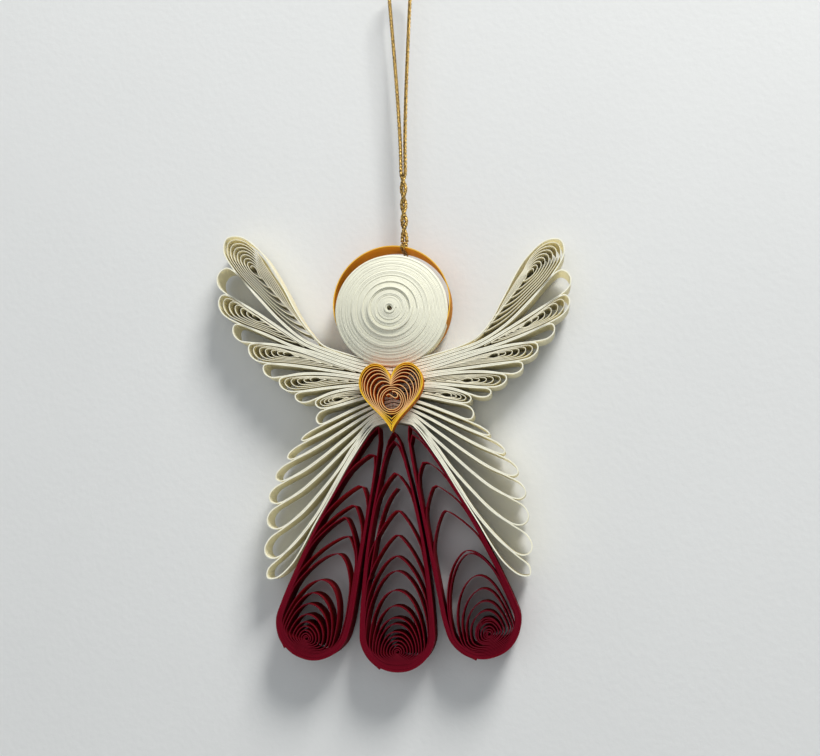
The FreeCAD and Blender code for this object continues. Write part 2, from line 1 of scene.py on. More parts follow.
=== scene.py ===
"""Looks of a hanging ornament of quilled paper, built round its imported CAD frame.

The figure is wound again as the real one is: narrow strips of paper stood on edge are
bent into loops or rolled into coils, and the plan of each one follows the outline of the
CAD node that it replaces. Plans are arrays of (out, up) points in the row's own metres.
"""

import json
import logging
import math
from dataclasses import dataclass, field
from enum import Enum

import bmesh
import bpy
import numpy as np
from bpy.types import ID, Material, Mesh, Node, NodeTree, Object, bpy_prop_collection
from mathutils import Matrix, Vector

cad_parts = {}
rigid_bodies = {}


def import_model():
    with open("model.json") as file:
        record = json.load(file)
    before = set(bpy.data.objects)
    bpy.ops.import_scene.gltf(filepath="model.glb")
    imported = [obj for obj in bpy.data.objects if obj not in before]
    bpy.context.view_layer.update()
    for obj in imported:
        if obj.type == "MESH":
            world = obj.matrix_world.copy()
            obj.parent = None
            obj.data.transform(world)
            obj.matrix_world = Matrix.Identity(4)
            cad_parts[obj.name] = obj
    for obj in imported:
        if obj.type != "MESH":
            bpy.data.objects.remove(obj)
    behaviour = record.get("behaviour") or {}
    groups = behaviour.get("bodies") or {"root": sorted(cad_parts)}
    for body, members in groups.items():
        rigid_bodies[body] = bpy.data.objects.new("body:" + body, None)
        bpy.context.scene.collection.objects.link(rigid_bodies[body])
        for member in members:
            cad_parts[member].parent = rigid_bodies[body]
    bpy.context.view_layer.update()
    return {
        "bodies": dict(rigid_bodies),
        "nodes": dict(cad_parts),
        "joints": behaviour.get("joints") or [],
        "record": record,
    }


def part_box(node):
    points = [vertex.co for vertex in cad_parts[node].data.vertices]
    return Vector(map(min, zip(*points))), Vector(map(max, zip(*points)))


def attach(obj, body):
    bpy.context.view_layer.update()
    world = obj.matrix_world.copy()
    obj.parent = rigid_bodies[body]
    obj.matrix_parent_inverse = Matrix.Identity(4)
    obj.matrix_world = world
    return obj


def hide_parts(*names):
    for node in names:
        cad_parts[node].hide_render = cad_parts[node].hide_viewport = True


LOG = logging.getLogger("quilled_ornament")
MM = 0.001
ROOT = "root"

Array = np.ndarray
Colour = tuple[float, float, float]


class Slot(Enum):
    """Material slots of the record."""

    IVORY = "ivory_paper"
    WHITE = "white_paper"
    GOLD = "gold_paper"
    CRIMSON = "crimson_paper"
    CORD = "metallic_cord"


class Side(Enum):
    """The two wings, with the sign of their way out from the middle line."""

    LEFT = -1
    RIGHT = 1


# Lines and curves


def unit_rows(vectors: Array) -> Array:
    """The vectors, one a row, each at length 1; one without length stays as it is."""
    return vectors / np.maximum(np.linalg.norm(vectors, axis=1, keepdims=True), 1e-12)


def lengths_along(line: Array) -> Array:
    """Distance of each point of a line from its start, along the line.

    Args:
        line: Points, one a row.

    Returns:
        One distance a point.
    """
    steps = np.linalg.norm(np.diff(line, axis=0), axis=1)
    return np.concatenate([[0.0], np.cumsum(steps)])


def resample(line: Array, spacing: float) -> Array:
    """Put points on a line at even distances.

    Args:
        line: Points, one a row.
        spacing: Rough distance between the new points.

    Returns:
        The new points, the two ends among them.
    """
    along = lengths_along(line)
    count = max(int(round(along[-1] / spacing)), 2)
    places = np.linspace(0.0, along[-1], count + 1)
    return np.stack([np.interp(places, along, column) for column in line.T], axis=1)


def between(
    place: Array, start: float, end: float, first: Array, last: Array
) -> Array:
    """Mix two points by where a place lies between the start and the end."""
    return (end - place) / (end - start) * first + (place - start) / (end - start) * last


def smooth_line(points: Array, spacing: float, closed: bool = False) -> Array:
    """Curve through points: a Catmull-Rom spline whose knots lie at root-chord steps.

    Args:
        points: The points that the curve goes through.
        spacing: Distance between the curve's own points.
        closed: True for a ring, whose first point is then also its last.

    Returns:
        Evenly spaced points of the curve.
    """
    if closed:
        held = np.vstack([points[-1], points, points[:2]])
    else:
        first = 2 * points[0] - points[1]
        last = 2 * points[-1] - points[-2]
        held = np.vstack([first, points, last])
    chords = np.linalg.norm(np.diff(held, axis=0), axis=1)
    knots = np.concatenate([[0.0], np.cumsum(np.sqrt(chords))])
    pieces = []
    for index in range(1, len(held) - 2):
        t0, t1, t2, t3 = knots[index - 1 : index + 3]
        p0, p1, p2, p3 = held[index - 1 : index + 3]
        t = np.linspace(t1, t2, 24, endpoint=False)[:, None]
        a1 = between(t, t0, t1, p0, p1)
        a2 = between(t, t1, t2, p1, p2)
        a3 = between(t, t2, t3, p2, p3)
        b1 = between(t, t0, t2, a1, a2)
        b2 = between(t, t1, t3, a2, a3)
        pieces.append(between(t, t1, t2, b1, b2))
    pieces.append(held[-2][None, :])
    return resample(np.vstack(pieces), spacing)


def rights(line: Array) -> Array:
    """Unit normals on the right of a line, one a point."""
    ways = unit_rows(np.gradient(line, axis=0))
    return np.stack([ways[:, 1], -ways[:, 0]], axis=1)


def relax(ring: Array, passes: int) -> Array:
    """Round off a closed ring: each pass mixes every point with its two neighbours."""
    for _ in range(passes):
        ring = 0.5 * ring + 0.25 * (np.roll(ring, 1, axis=0) + np.roll(ring, -1, axis=0))
    return ring


def signed_area(ring: Array) -> float:
    """Area inside a closed ring, positive when it runs anticlockwise."""
    nxt = np.roll(ring, -1, axis=0)
    return 0.5 * float(np.sum(ring[:, 0] * nxt[:, 1] - nxt[:, 0] * ring[:, 1]))


def smoothstep(value: Array | float) -> Array | float:
    """Ease from 0 to 1 as the value goes from 0 to 1: three squares less two cubes."""
    held = np.clip(value, 0.0, 1.0)
    return held * held * (3 - 2 * held)


# Plans read from the CAD nodes


@dataclass
class Drawing:
    """Turns row coordinates into the ornament's own (out, up) plan and back.

    Args:
        middle: Row X of the ornament's middle line.
        level: Row Z of the heart's tip.
        front: Row Y of the wide strips' front edges.
        back: Row Y of their back edges.
    """

    middle: float
    level: float
    front: float
    back: float

    @classmethod
    def from_frame(cls) -> "Drawing":
        """Take the middle from the head, the level from the heart, the depth from the gown."""
        middle, _ = middle_of("head_coil")
        heart_low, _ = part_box("heart_coil")
        gown_low, gown_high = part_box("gown_middle_coil")
        return cls(middle, heart_low[2], gown_low[1], gown_high[1])

    def plan(self, points: Array) -> Array:
        """Plan points of row (x, z) points."""
        return points - np.array([self.middle, self.level])

    def row(self, plan: Array) -> Array:
        """Row (x, z) points of plan points."""
        return plan + np.array([self.middle, self.level])

    def point(self, out_mm: float, up_mm: float) -> Array:
        """Row (x, z) of a place given in millimetres on the plan."""
        return self.row(np.array([out_mm, up_mm]) * MM)


def mesh_data(items: bpy_prop_collection, key: str, width: int, kind: type = float) -> Array:
    """One property of all of a mesh's items, one item a row.

    Args:
        items: The mesh's vertices, edges or triangles.
        key: The property.
        width: Values that an item holds.
        kind: The values' type.

    Returns:
        The values.
    """
    values = np.zeros(len(items) * width, dtype=kind)
    items.foreach_get(key, values)
    return values.reshape(-1, width)


def middle_of(name: str) -> tuple[float, float]:
    """Row (x, z) of the middle of a node's box."""
    low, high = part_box(name)
    return (low[0] + high[0]) / 2, (low[2] + high[2]) / 2


def front_outline(node: Object) -> Array:
    """Outer loop of a node's front face, as (x, z) points in clockwise order.

    The edges of the front triangles that only one of them has are its rim.

    Args:
        node: The CAD node's object.

    Returns:
        The loop's corners, the first one not repeated.
    """
    mesh = node.data
    places = mesh_data(mesh.vertices, "co", 3)
    _, first, same = np.unique(np.round(places, 7), axis=0, return_index=True, return_inverse=True)
    same = same.reshape(-1)
    mesh.calc_loop_triangles()
    triangles = mesh_data(mesh.loop_triangles, "vertices", 3, int)
    on_front = places[:, 1] < places[:, 1].min() + 1e-6
    triangles = same[triangles[on_front[triangles].all(axis=1)]]
    edges = np.vstack([triangles[:, pair] for pair in ([0, 1], [1, 2], [2, 0])])
    edges = np.sort(edges, axis=1)
    edges, times = np.unique(edges, axis=0, return_counts=True)
    beside: dict[int, list[int]] = {}
    for start, end in edges[times == 1]:
        beside.setdefault(int(start), []).append(int(end))
        beside.setdefault(int(end), []).append(int(start))
    loops = []
    while beside:
        corner = next(iter(beside))
        loop = []
        while corner in beside:
            loop.append(corner)
            ways = beside.pop(corner)
            corner = next((way for way in ways if way in beside), -1)
        loops.append(places[first[loop]][:, [0, 2]])
    outer = max(loops, key=lambda loop: abs(signed_area(loop)))
    return outer if signed_area(outer) < 0 else outer[::-1]


# Meshes


def linked(name: str, data: ID) -> Object:
    """Make an object of some data and link it to the scene.

    Args:
        name: The object's name.
        data: Its mesh, curve, camera or light.

    Returns:
        The linked object.
    """
    made = bpy.data.objects.new(name, data)
    bpy.context.scene.collection.objects.link(made)
    return made


def face_outward(mesh: Mesh) -> None:
    """Turn a closed mesh's faces outward and shade it smooth."""
    work = bmesh.new()
    work.from_mesh(mesh)
    bmesh.ops.recalc_face_normals(work, faces=work.faces)
    work.to_mesh(mesh)
    work.free()
    mesh.shade_smooth()


def swept_mesh(name: str, sweeps: list[Array], around: int) -> Mesh:
    """Make a mesh of surfaces carried along lines, each with a cap at either end.

    Args:
        name: The mesh's name.
        sweeps: Vertices of each surface, section by section.
        around: Vertices in each section.

    Returns:
        The mesh.
    """
    faces: list[list[int]] = []
    total = 0
    corner = np.arange(around)[None, :]
    following = (corner + 1) % around
    for vertices in sweeps:
        last = len(vertices) - around
        station = total + np.arange(0, last, around)[:, None]
        ring = [corner, following, around + following, around + corner]
        quads = np.stack([station + part for part in ring], axis=2).reshape(-1, 4)
        faces += quads.tolist()
        faces.append(list(range(total, total + around)))
        faces.append(list(range(total + last, total + len(vertices)))[::-1])
        total += len(vertices)
    mesh = bpy.data.meshes.new(name)
    mesh.from_pydata(np.vstack(sweeps).tolist(), [], faces)
    return mesh


@dataclass
class Strip:
    """A strip of paper stood on edge along a line.

    Args:
        line: Row (x, z) points of its middle.
        paper: Its thickness.
        front: Row Y of its front edge, one value or one a point.
        back: Row Y of its back edge, one value or one a point.
        tone: Share of the inner colour, one value or one a point.
        slope: How far the front edge falls back to the line's right, for each length across.
    """

    line: Array
    paper: float
    front: float | Array
    back: float | Array
    tone: float | Array = 0.0
    slope: float | Array = 0.0

    CORNERS = 8

    def surface(self) -> tuple[Array, Array]:
        """Carry an oblong with cut corners along the line.

        Returns:
            Vertices, and a tone for each of them.
        """
        half = self.paper / 2
        cut = self.paper * 0.12
        side = half - cut
        across = np.array([-half, -half, -side, side, half, half, side, -side])
        on_back = np.array([1, 0, 0, 0, 0, 1, 1, 1])
        inward = np.array([-cut, cut, 0, 0, cut, -cut, 0, 0])
        count = len(self.line)
        front = np.broadcast_to(self.front, count)[:, None]
        back = np.broadcast_to(self.back, count)[:, None]
        front = front + np.broadcast_to(self.slope, count)[:, None] * across
        depth = np.where(on_back == 1, back, front) + inward
        flat = self.line[:, None, :] + across[None, :, None] * rights(self.line)[:, None, :]
        vertices = np.stack([flat[..., 0], depth, flat[..., 1]], axis=2).reshape(-1, 3)
        tones = np.repeat(np.broadcast_to(self.tone, count), self.CORNERS)
        return vertices, tones


def strips_object(name: str, strips: list[Strip]) -> Object:
    """Make one object of several strips, sharp along their corners.

    Args:
        name: The object's name.
        strips: The strips that it holds.

    Returns:
        The linked object.
    """
    surfaces = [strip.surface() for strip in strips]
    mesh = swept_mesh(name, [vertices for vertices, _ in surfaces], Strip.CORNERS)
    tones = np.concatenate([tones for _, tones in surfaces])
    attribute = mesh.attributes.new("tone", "FLOAT", "POINT")
    attribute.data.foreach_set("value", tones.astype(np.float32))
    section = mesh_data(mesh.edges, "vertices", 2, int) // Strip.CORNERS
    sharp = mesh.attributes.new("sharp_edge", "BOOLEAN", "EDGE")
    sharp.data.foreach_set("value", section[:, 0] != section[:, 1])
    face_outward(mesh)
    return linked(name, mesh)


def tube_surface(line: Array, radius: float, around: int) -> Array:
    """Carry a circle along a line in space, without twist.

    Args:
        line: Points (x, y, z) of the tube's middle.
        radius: The tube's radius.
        around: Points on the circle.

    Returns:
        Its vertices.
    """
    ways = unit_rows(np.gradient(line, axis=0))
    spare = np.where(np.abs(ways[:, 1:2]) < 0.8, [[0.0, 1.0, 0.0]], [[1.0, 0.0, 0.0]])
    side = unit_rows(np.cross(ways, spare))
    other = np.cross(ways, side)
    angle = np.linspace(0, 2 * np.pi, around, endpoint=False)
    across, up = np.cos(angle)[None, :, None], np.sin(angle)[None, :, None]
    ring = across * side[:, None] + up * other[:, None]
    return (line[:, None] + radius * ring).reshape(-1, 3)


# Finishes

# Sockets of a colour mixer
MIX_SHARE, MIX_FIRST, MIX_SECOND, MIX_RESULT = 0, 6, 7, 2


def node_at(tree: NodeTree, kind: str, **values: float | str | bool) -> Node:
    """Add a shader node and set its properties and input sockets by name.

    Args:
        tree: The material's node tree.
        kind: The node's type name, without its prefix.
        **values: Properties, or inputs with blanks written as underscores.

    Returns:
        The new node.
    """
    made = tree.nodes.new(f"ShaderNode{kind}")
    for key, value in values.items():
        if hasattr(made, key):
            setattr(made, key, value)
        else:
            made.inputs[key.replace("_", " ")].default_value = value
    return made


def opaque(colour: Colour) -> tuple[float, float, float, float]:
    """The colour with full cover, as sockets take it."""
    return (*colour, 1.0)


def blend(tree: NodeTree, *colours: Colour) -> Node:
    """Add a colour mixer, with its first colour or both of them set."""
    made = node_at(tree, "Mix", data_type="RGBA")
    for socket, colour in zip((MIX_FIRST, MIX_SECOND), colours):
        made.inputs[socket].default_value = opaque(colour)
    return made


def join(tree: NodeTree, *links: tuple) -> None:
    """Link nodes: each link is a node, its output, the next node and its input."""
    for start, output, end, entry in links:
        tree.links.new(start.outputs[output], end.inputs[entry])


def empty_material(name: str) -> tuple[Material, NodeTree]:
    """Make a material whose node tree is empty, and return both."""
    made = bpy.data.materials.new(name)
    made.use_nodes = True
    made.node_tree.nodes.clear()
    return made, made.node_tree


@dataclass(frozen=True)
class Paper:
    """Dyed quilling paper: a mottled face, a cut edge of its own colour, fine fibres.

    Args:
        name: The material's name.
        face: Colour of the flat of the strip.
        edge: Colour of its cut edge.
        inner: Colour of the edge where the tone is 1.
        through: Colour of the light that the paper lets through.
        mottle: How much the colour varies, as a share.
        glow: Share of the light that goes into the paper.
        roughness: The surface's roughness.
        sheen: Its specular level.
    """

    name: str
    face: Colour
    edge: Colour
    inner: Colour
    through: Colour
    mottle: float = 0.06
    glow: float = 0.0
    roughness: float = 0.7
    sheen: float = 0.3

    def material(self) -> Material:
        """Build the paper's node material.

        Returns:
            The material.
        """
        made, tree = empty_material(self.name)
        place = node_at(tree, "TexCoord")
        tone = node_at(tree, "Attribute", attribute_name="tone")
        cut_edge = blend(tree, self.edge, self.inner)
        facing = node_at(tree, "SeparateXYZ")
        level = node_at(tree, "Math", operation="ABSOLUTE")
        cut = node_at(tree, "MapRange", From_Min=0.35, From_Max=0.85)
        dyed = blend(tree, self.face)
        blotch = node_at(tree, "TexNoise", Scale=420.0, Detail=4.0, Roughness=0.6)
        least, most = 1 - self.mottle, 1 + self.mottle
        shade = node_at(tree, "MapRange", From_Min=0.3, From_Max=0.7, To_Min=least, To_Max=most)
        painted = node_at(tree, "VectorMath", operation="SCALE")
        fibre = node_at(tree, "TexNoise", Scale=5200.0, Detail=3.0, Roughness=0.7)
        bump = node_at(tree, "Bump", Strength=0.25, Distance=0.00006)
        shader = node_at(
            tree, "BsdfPrincipled", Roughness=self.roughness, Specular_IOR_Level=self.sheen
        )
        through = node_at(tree, "BsdfTranslucent", Color=opaque(self.through))
        flat_share = node_at(tree, "MapRange", To_Min=self.glow, To_Max=0.0)
        both = node_at(tree, "MixShader")
        output = node_at(tree, "OutputMaterial")
        join(
            tree,
            (tone, "Fac", cut_edge, MIX_SHARE),
            (place, "Normal", facing, 0),
            (facing, "Y", level, 0),
            (level, 0, cut, "Value"),
            (cut, "Result", dyed, MIX_SHARE),
            (cut_edge, MIX_RESULT, dyed, MIX_SECOND),
            (place, "Object", blotch, "Vector"),
            (blotch, "Fac", shade, "Value"),
            (dyed, MIX_RESULT, painted, 0),
            (shade, "Result", painted, "Scale"),
            (place, "Object", fibre, "Vector"),
            (fibre, "Fac", bump, "Height"),
            (painted, 0, shader, "Base Color"),
            (bump, "Normal", shader, "Normal"),
            (cut, "Result", flat_share, "Value"),
            (flat_share, "Result", both, 0),
            (shader, 0, both, 1),
            (through, 0, both, 2),
            (both, 0, output, 0),
        )
        return made


@dataclass(frozen=True)
class MetallicThread:
    """Twisted metallic thread: darker tarnished gold with random patches of painted glint.

    Args:
        name: The material's name.
        painted_glint: Colour of the painted glints.
        dull: Colour of the tarnished gold between the painted glints.
    """

    name: str
    painted_glint: Colour
    dull: Colour

    def material(self) -> Material:
        """Build the thread's node material.

        Returns:
            The material.
        """
        made, tree = empty_material(self.name)
        place = node_at(tree, "TexCoord")
        # Random patches of painted glint over the darker tarnished gold
        glint_spots = node_at(tree, "TexNoise", Scale=2600.0, Detail=3.0)
        spread = node_at(tree, "MapRange", From_Min=0.38, From_Max=0.62)
        colour = blend(tree, self.dull, self.painted_glint)
        shader = node_at(tree, "BsdfPrincipled", Roughness=0.42, Metallic=0.75)
        output = node_at(tree, "OutputMaterial")
        join(
            tree,
            (place, "Object", glint_spots, "Vector"),
            (glint_spots, "Fac", spread, "Value"),
            (spread, "Result", colour, MIX_SHARE),
            (colour, MIX_RESULT, shader, "Base Color"),
            (shader, 0, output, 0),
        )
        return made


IVORY_PAPER = Paper(
    "ivory paper", (0.95, 0.92, 0.75), (0.98, 0.96, 0.80), (0.98, 0.93, 0.74), (1.0, 0.95, 0.76),
    glow=0.45,
)
WHITE_PAPER = Paper(
    "white paper", (0.84, 0.82, 0.66), (0.90, 0.89, 0.74), (0.90, 0.89, 0.74), (1.0, 0.95, 0.75),
    mottle=0.03, glow=0.1,
)
GOLD_PAPER = Paper(
    "gold paper", (0.66, 0.27, 0.01), (0.92, 0.55, 0.06), (0.92, 0.55, 0.06), (1.0, 0.62, 0.12),
    glow=0.35,
)
HEART_PAPER = Paper(
    "heart paper", (0.74, 0.24, 0.02), (0.98, 0.62, 0.03), (1.0, 0.60, 0.25), (1.0, 0.38, 0.05),
    glow=0.35,
)
CRIMSON_PAPER = Paper(
    "crimson paper", (0.15, 0.004, 0.010), (0.17, 0.0, 0.011), (0.14, 0.002, 0.012),
    (1.0, 0.16, 0.12), glow=0.35, sheen=0.1,
)
# Its lighter colour is painted glint, its darker one tarnished gold
GOLD_THREAD = MetallicThread("metallic thread", (0.78, 0.52, 0.15), (0.085, 0.045, 0.012))


def dress(piece: Object, finish: Material, slot: Slot, *nodes: str) -> None:
    """Give a piece its finish and its body, and hide the CAD nodes that it replaces.

    Args:
        piece: The finished piece.
        finish: Its material.
        slot: The record's slot of that finish, not used.
        *nodes: CAD nodes that it replaces.
    """
    piece.data.materials.append(finish)
    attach(piece, ROOT)
    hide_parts(*nodes)
    LOG.info("%s: %d faces", piece.name, len(piece.data.polygons))


# Wings


@dataclass(frozen=True)
class CoilPlan:
    """How a coiled feather is wound.

    Args:
        eye: Plan place of its eye on the left wing, in millimetres.
        turns: Turns of its strip.
        slack: How far the coil has sprung off the upper flank of its outer loop, mm.
    """

    eye: tuple[float, float]
    turns: float
    slack: float


@dataclass
class Wing:
    """One wing: looped and coiled feathers, each one strip of ivory paper.

    Args:
        side: Which wing.
        drawing: The ornament's plan.
        nodes: The CAD nodes by name.
        finish: The ivory material.
    """

    side: Side
    drawing: Drawing
    nodes: dict[str, Object]
    finish: Material
    paper: float = 0.27 * MM
    coil_paper: float = 0.14 * MM
    coil_inset: float = 0.1 * MM
    spacing: float = 0.28 * MM
    feathers: int = 17
    coils: dict[int, CoilPlan] = field(
        default_factory=lambda: {
            1: CoilPlan((32.5, 40.1), 7.6, 0.9),
            3: CoilPlan((31.8, 28.5), 5.6, 0.35),
            5: CoilPlan((24.28, 19.47), 5.6, 0.35),
            7: CoilPlan((17.95, 13.36), 4.6, 0.2),
            9: CoilPlan((12.86, 8.54), 3.6, 0.1),
        }
    )

    def outline(self, name: str) -> Array:
        """Outline of a feather from its upper root round its end to its lower root.

        Args:
            name: The feather's node.

        Returns:
            Plan points with "out" counted towards this wing's tips.
        """
        plan = self.drawing.plan(front_outline(self.nodes[name]))
        plan[:, 0] *= self.side.value
        if self.side is Side.LEFT:
            plan = plan[::-1]
        at_root = plan[:, 0] < 0.1 * MM
        start = next(i for i in range(len(plan)) if at_root[i] and at_root[i - 1])
        return np.roll(plan, -start, axis=0)

    def place(self, plan: Array) -> Array:
        """Row (x, z) points of this wing's plan points."""
        return self.drawing.row(plan * np.array([self.side.value, 1.0]))

    def hollow(self, line: Array) -> Array:
        """Ring inside a feather's strip, from where its tail opens round its end.

        Args:
            line: Middle of the feather's strip, from root to root.

        Returns:
            Closed ring, clockwise from the pinch in the tail.
        """
        inner = line + self.paper * 1.15 * rights(line)
        half = len(inner) // 2
        upper, lower = inner[:half], inner[half:][::-1]
        gaps = np.linalg.norm(upper[:, None] - lower[None], axis=2)
        nearest = gaps.min(axis=1)
        closed_up = np.nonzero(nearest < 0.5 * self.paper)[0]
        start = int(closed_up[-1]) + 1 if len(closed_up) else 0
        end = int(gaps[start].argmin())
        return np.vstack([upper[start:], lower[end:][::-1]])

    def eye_of(self, number: int, ring: Array) -> Array:
        """Eye of a coil, moved with this wing's own feather.

        Args:
            number: The feather's number.
            ring: The feather's hollow.

        Returns:
            Plan place of the eye.
        """
        eye = np.array(self.coils[number].eye) * MM
        if self.side is Side.LEFT:
            return eye
        twin = self.drawing.plan(front_outline(self.nodes[f"left_coil_feather_{number}"]))
        twin[:, 0] *= -1
        twin_far = twin[np.argmax(twin[:, 0])]
        return eye + ring[np.argmax(ring[:, 0])] - twin_far

    def wind(self, number: int, line: Array) -> Strip:
        """Wind a coil inside a feather's loop: its hollow shrinks evenly on the eye.

        Args:
            number: The feather's number.
            line: Middle of the feather's strip.

        Returns:
            The coil's strip.
        """
        plan = self.coils[number]
        hollow = self.hollow(line)
        ring = resample(np.vstack([hollow, hollow[:1]]), self.spacing)[:-1]
        eye = self.eye_of(number, ring)
        count = len(ring)
        reach = ring - eye
        distances = np.linalg.norm(reach, axis=1)
        axis = ring[np.argmax(np.linalg.norm(ring, axis=1))] - eye
        axis /= np.linalg.norm(axis)
        frame = np.array([axis, [axis[1], -axis[0]]])
        bearing = reach / distances[:, None] @ frame.T
        oval = eye + (bearing * np.array([1.0, 0.45]) * MM) @ frame
        around = np.arange(count) / count
        sprung = plan.slack * MM * np.sin(np.pi * np.clip(around * 2, 0, 1)) ** 2
        ring = ring - reach / distances[:, None] * sprung[:, None]
        ring = relax(ring, 12)
        steps = np.arange(int(plan.turns * count))
        turn = steps / count
        share = (turn / plan.turns)[:, None]
        along = steps % count
        spiral = (1 - share) * ring[along] + share * oval[along]
        wobble = 0.05 * MM * np.sin(turn * 2.3 + number)
        front = self.drawing.front + self.coil_inset + wobble
        return Strip(self.place(spiral), self.coil_paper, front, self.drawing.back, 1.0)

    def build(self) -> None:
        """Make each feather's piece and dress it."""
        side = self.side.name.lower()
        for number in range(1, self.feathers + 1):
            kind = "coil" if number in self.coils else "loop"
            name = f"{side}_{kind}_feather_{number}"
            edge = smooth_line(self.outline(name), self.spacing)
            line = edge + self.paper / 2 * rights(edge)
            drawing = self.drawing
            strips = [Strip(self.place(line), self.paper * 1.06, drawing.front, drawing.back)]
            if number in self.coils:
                strips.append(self.wind(number, line))
            dress(strips_object(f"{name}_strip", strips), self.finish, Slot.IVORY, name)


# Gown


@dataclass
class GownCoil:
    """A teardrop coil whose turns are pressed together at its foot and its flanks.

    Each turn is a distance from the coil's eye at every bearing: the nearer of the rim
    set in by the turns that lie outside it, and of the turn's own arch. The arch's half
    width is its width times (1 - share of its height squared) to a power that falls from
    a pointed arch's to a round one's; under the eye it is half an ellipse.

    Args:
        name: The CAD node.
        drawing: The ornament's plan.
        node: The node's object.
        eye: Plan place of the eye, in millimetres.
        tops: Plan places of the arches' tops from the outside in, in millimetres.
        strip_end: Bearing of the strip's outer end, clockwise from the coil's top.
    """

    name: str
    drawing: Drawing
    node: Object
    eye: tuple[float, float]
    tops: list[tuple[float, float]]
    strip_end: float = 228.0
    paper: float = 0.2 * MM
    around: int = 240

    INSET = 0.08 * MM
    END_STEP = 0.22 * MM
    END_SHARE = 0.03
    CORNER = 50
    # Half width of an arch by its height over the eye, in millimetres
    ARCHES = np.array(
        [
            (0.35, 0.35), (0.9, 0.9), (1.6, 1.5), (2.4, 2.2), (3.3, 2.9), (4.3, 3.5), (6.0, 4.2),
            (7.3, 4.8), (9.9, 5.4), (13.2, 6.1), (17.0, 7.2), (21.0, 8.2), (30.0, 10.0),
            (50.0, 13.0),
        ]
    )
    INNER_HEIGHTS = (3.4, 2.5, 1.7, 1.05, 0.6, 0.3)

    def __post_init__(self) -> None:
        """Set up the coil's own axes, and its outline about the eye."""
        outline = smooth_line(self.drawing.plan(front_outline(self.node)), 0.1 * MM, closed=True)
        self.centre = np.array(self.eye) * MM
        reach = outline - self.centre
        tip = reach[np.linalg.norm(reach, axis=1).argmax()]
        up = tip / np.linalg.norm(tip)
        self.axes = np.array([[up[1], -up[0]], up])
        self.rim = reach @ self.axes.T

    def rim_distances(self, bearing: Array, inset: float) -> Array:
        """Distance from the eye to the rim set in by some way: the nearest of its sides.

        Args:
            bearing: Angles clockwise from the coil's top.
            inset: How far each side of the rim is set in.

        Returns:
            One distance a bearing.
        """
        ways = np.roll(self.rim, -1, axis=0) - np.roll(self.rim, 1, axis=0)
        normals = unit_rows(np.stack([-ways[:, 1], ways[:, 0]], axis=1))
        supports = np.sum(normals * self.rim, axis=1)
        if supports.mean() < 0:
            normals, supports = -normals, -supports
        facing = np.stack([np.sin(bearing), np.cos(bearing)], axis=1) @ normals.T
        distances = (supports - inset)[None, :] / np.maximum(facing, 1e-6)
        return np.where(facing > 0.02, distances, np.inf).min(axis=1)

    def arch_distances(
        self, bearing: Array, height: float, lean: float, depth: float
    ) -> Array:
        """Distance from the eye to one arch at each bearing.

        Args:
            bearing: Angles clockwise from the coil's top.
            height: The arch's height over the eye.
            lean: How far its top leans to the right.
            depth: How far it reaches under the eye.

        Returns:
            One distance a bearing.
        """
        width = np.interp(height / MM, *self.ARCHES.T) * MM
        share = np.sin(np.linspace(0, np.pi / 2, 90))
        pointed = 0.5 + 0.3 * smoothstep((height / MM - 13) / 16)
        half = width * (1 - share**2) ** pointed
        right = np.stack([half + lean * share**2, height * share], axis=1)
        left = np.stack([-half + lean * share**2, height * share], axis=1)
        under = np.linspace(0, np.pi, 90)
        foot = np.stack([width * np.cos(under), -depth * np.sin(under)], axis=1)
        arch = np.vstack([right[::-1], foot[1:-1], left])
        angle = np.unwrap(np.arctan2(arch[:, 0], arch[:, 1]))
        order = np.argsort(angle)
        reach = np.linalg.norm(arch, axis=1)
        return np.interp(bearing, angle[order], reach[order], period=2 * np.pi)

    def spiral(self) -> Array:
        """Plan line of the whole strip, from its outer end to the eye."""
        tops = (np.array(self.tops) * MM - self.centre) @ self.axes.T
        first_top = self.rim[:, 1].max() * 1.1
        heights = np.concatenate([[first_top], tops[:, 1], np.array(self.INNER_HEIGHTS) * MM])
        inner = len(self.INNER_HEIGHTS)
        leans = np.concatenate([[0.0], tops[:, 0], np.linspace(tops[-1, 0], 0, inner + 1)[1:]])
        depths = np.linspace(-self.rim[:, 1].min() - 1.4 * self.paper, 0.3 * MM, len(heights))
        bearing = np.linspace(0, 2 * np.pi, self.around, endpoint=False)
        loops = [self.rim_distances(bearing, 0.5 * self.paper)]
        for turn, (height, lean, depth) in enumerate(zip(heights, leans, depths)):
            rim = self.rim_distances(bearing, (turn + 1.5) * self.paper)
            rim = np.maximum(rim, 0.1 * MM)
            arch = self.arch_distances(bearing, height, lean, depth)
            nearer = ((rim / arch) ** self.CORNER + 1) ** (-1 / self.CORNER)
            loops.append(np.where(arch > 0, nearer, 1) * rim)
        table = np.array(loops)
        first = int(round(self.strip_end / 360 * self.around))
        step = np.arange(first, (len(table) - 1) * self.around)
        turn, place = step // self.around, step % self.around
        share = place / self.around
        reach = (1 - share) * table[turn, place] + share * table[turn + 1, place]
        started = (step - first) / self.around
        reach = reach + self.END_STEP * np.clip(1 - started / self.END_SHARE, 0, 1)
        line = reach[:, None] * np.stack([np.sin(bearing[place]), np.cos(bearing[place])], axis=1)
        return self.centre + line @ self.axes

    def build(self, finish: Material, extra: list[Strip]) -> None:
        """Make the coil's piece and dress it.

        Args:
            finish: The crimson material.
            extra: Further strips that belong to this coil.
        """
        line = resample(self.drawing.row(self.spiral()), 0.22 * MM)
        tone = np.linspace(0, 1, len(line))
        wave = 0.06 * MM * np.sin(tone * 37)
        front = self.drawing.front + self.INSET + wave
        strip = Strip(line, self.paper * 0.96, front, self.drawing.back, tone)
        piece = strips_object(f"{self.name}_strip", [strip, *extra])
        dress(piece, finish, Slot.CRIMSON, self.name)


